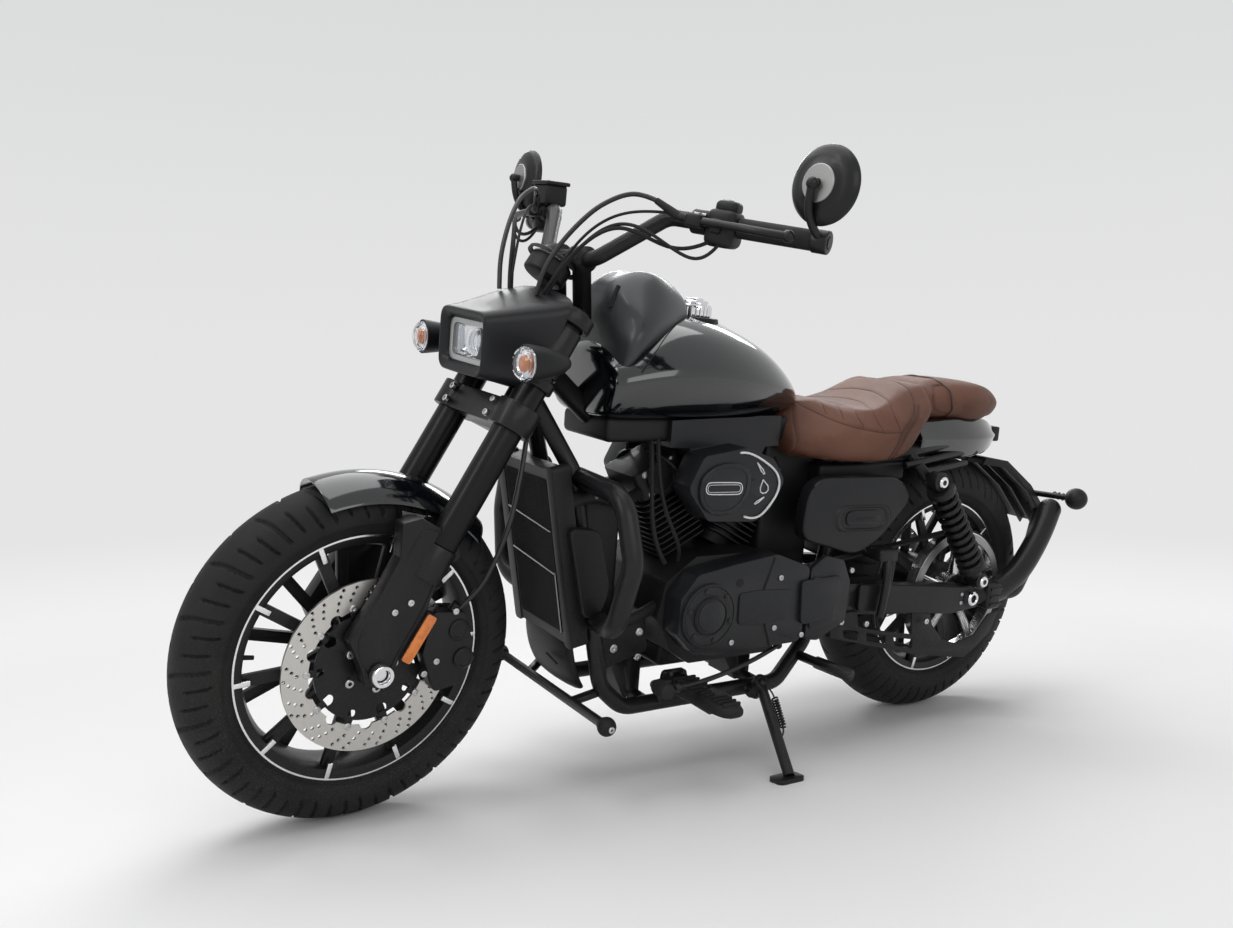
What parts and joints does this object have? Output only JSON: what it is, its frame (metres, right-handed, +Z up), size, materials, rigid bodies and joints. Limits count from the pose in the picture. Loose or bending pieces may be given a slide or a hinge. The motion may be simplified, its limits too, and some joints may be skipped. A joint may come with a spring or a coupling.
{
  "type": "cruiser motorcycle",
  "caption": "Low cruiser motorcycle with a V-twin engine, cast wheels, brown leather seat and pad, crash guards and belt drive, leaning on its side stand.",
  "frame": {"origin": "on the floor, under the middle of the machine's box", "axes": "+X forwards along the wheelbase, +Y to the rider's left, +Z up; the machine leans about 8 degrees to +Y"},
  "size_m": [2.091, 0.9854, 1.275],
  "materials": {
    "gloss_black": "deep gloss black paint",
    "satin_black": "satin black powder coat",
    "engine_black": "satin black cast engine paint",
    "black_plastic": "matte black moulded plastic",
    "tyre": "black tyre rubber",
    "black_rubber": "black rubber",
    "brown_leather": "brown leather with darker stitching",
    "chrome": "polished chrome",
    "machined_alloy": "machined bare alloy",
    "disc_steel": "ground brake disc steel",
    "clear_lens": "clear moulded lens",
    "amber_lens": "amber lens",
    "red_lens": "red lens",
    "mirror_glass": "mirror glass"
  },
  "bodies": {
    "frame": {"frame": "satin_black", "engine_case": "engine_black", "engine_cylinders": "engine_black", "engine_cover": "engine_black", "belt_cover": "engine_black", "airbox_covers": "engine_black", "radiator": "black_plastic", "radiator_grille": "satin_black", "belly_spoiler": "black_plastic", "crash_guard": "satin_black", "exhaust": "satin_black", "fuel_tank": "gloss_black", "tank_cowl": "black_plastic", "fuel_cap": "chrome", "seat": "brown_leather", "pillion_pad": "brown_leather", "side_covers": "black_plastic", "rear_fender": "gloss_black", "tail_lamp": "red_lens", "swingarm": "satin_black", "shock_absorbers": "satin_black", "belt_guard": "black_plastic", "drive_belt": "black_rubber", "rear_hugger": "black_plastic", "rear_signals": "black_plastic", "rear_caliper": "satin_black", "foot_controls": "black_rubber"},
    "steering": {"fork_tubes": "gloss_black", "fork_lowers": "satin_black", "triple_clamps": "satin_black", "headlamp_nacelle": "black_plastic", "headlamp_lens": "clear_lens", "front_signals": "black_plastic", "handlebar": "satin_black", "grips": "black_rubber", "hand_controls": "black_plastic", "mirrors": "satin_black", "front_fender": "gloss_black", "front_caliper": "satin_black", "gauge": "black_plastic", "control_cables": "black_rubber"},
    "front_wheel": {"front_tyre": "tyre", "front_rim": "satin_black", "front_disc": "disc_steel"},
    "rear_wheel": {"rear_tyre": "tyre", "rear_rim": "satin_black", "rear_pulley": "machined_alloy", "rear_disc": "disc_steel"},
    "side_stand": {"side_stand": "satin_black"}
  },
  "joints": [
    {"name": "steering", "type": "hinge", "parent": "frame", "child": "steering", "pos_m": [0.44173, -0.05507, 0.72877], "axis": [-0.4993, 0.1205, 0.858], "range_deg": [-37, 27]},
    {"name": "front_wheel_spin", "type": "hinge", "parent": "steering", "child": "front_wheel", "pos_m": [0.74621, -0.1118, 0.29599], "axis": [-0.0756, 0.9804, -0.1817], "continuous": true},
    {"name": "rear_wheel_spin", "type": "hinge", "parent": "frame", "child": "rear_wheel", "pos_m": [-0.65363, -0.11507, 0.30276], "axis": [-0.0001, 0.9903, -0.1392], "continuous": true},
    {"name": "side_stand_fold", "type": "hinge", "parent": "frame", "child": "side_stand", "pos_m": [-0.06075, 0.01155, 0.1542], "axis": [-0.0108, 0.7564, 0.6541], "range_deg": [0, 88]}
  ]
}
